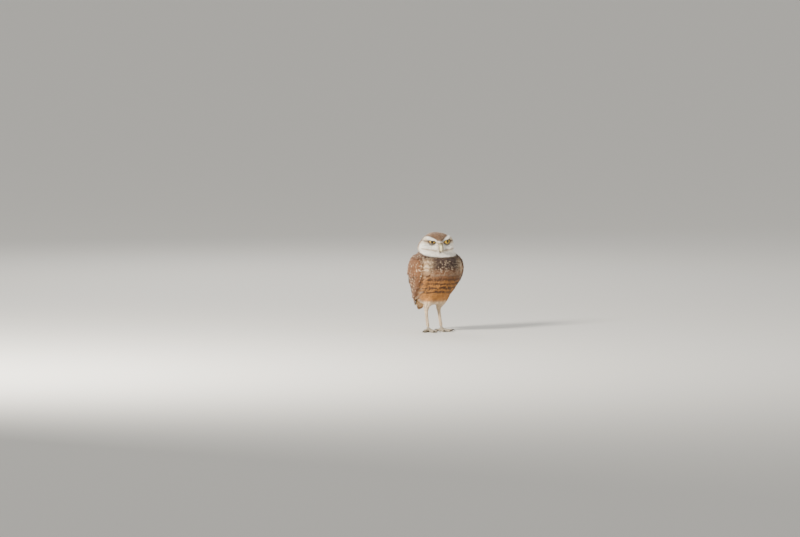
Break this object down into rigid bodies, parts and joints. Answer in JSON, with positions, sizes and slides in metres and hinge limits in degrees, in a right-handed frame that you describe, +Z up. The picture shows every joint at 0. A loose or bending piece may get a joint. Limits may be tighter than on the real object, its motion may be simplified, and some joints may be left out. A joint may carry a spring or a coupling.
{
  "type": "burrowing owl model",
  "caption": "Life-size still model of a burrowing owl standing hunched with its head turned, wings folded and long legs together.",
  "frame": {"origin": "on the floor under the middle of the bird's bounding box", "axes": "+Z up, the body faces -Y, the bird's left side is +X"},
  "size_m": [0.1092, 0.0974, 0.188],
  "materials": {
    "plumage": "soft matte body feathers, brown with pale spots and bars",
    "wing": "firm matte flight feathers and coverts, rufous brown with pale spots",
    "tail": "firm matte feathers, barred brown and buff",
    "leg_feather": "short sparse cream feathering",
    "toe": "dry scaled grey-brown skin",
    "claw": "smooth dark horn",
    "bill": "smooth cream-yellow horn",
    "eye": "wet polished yellow iris with a black pupil"
  },
  "bodies": {
    "root": {"bill_lower": "bill", "bill_upper": "bill", "claw_hind_left": "claw", "claw_hind_right": "claw", "claw_inner_left": "claw", "claw_inner_right": "claw", "claw_middle_left": "claw", "claw_middle_right": "claw", "claw_outer_left": "claw", "claw_outer_right": "claw", "eye_left": "eye", "eye_right": "eye", "foot_left": "toe", "foot_right": "toe", "head": "plumage", "neck": "plumage", "shank_left": "leg_feather", "shank_right": "leg_feather", "tail": "tail", "thigh_left": "leg_feather", "thigh_right": "leg_feather", "toe_hind_left": "toe", "toe_hind_right": "toe", "toe_inner_left": "toe", "toe_inner_right": "toe", "toe_middle_left": "toe", "toe_middle_right": "toe", "toe_outer_left": "toe", "toe_outer_right": "toe", "torso": "plumage", "wing_left": "wing", "wing_right": "wing"}
  },
  "joints": []
}
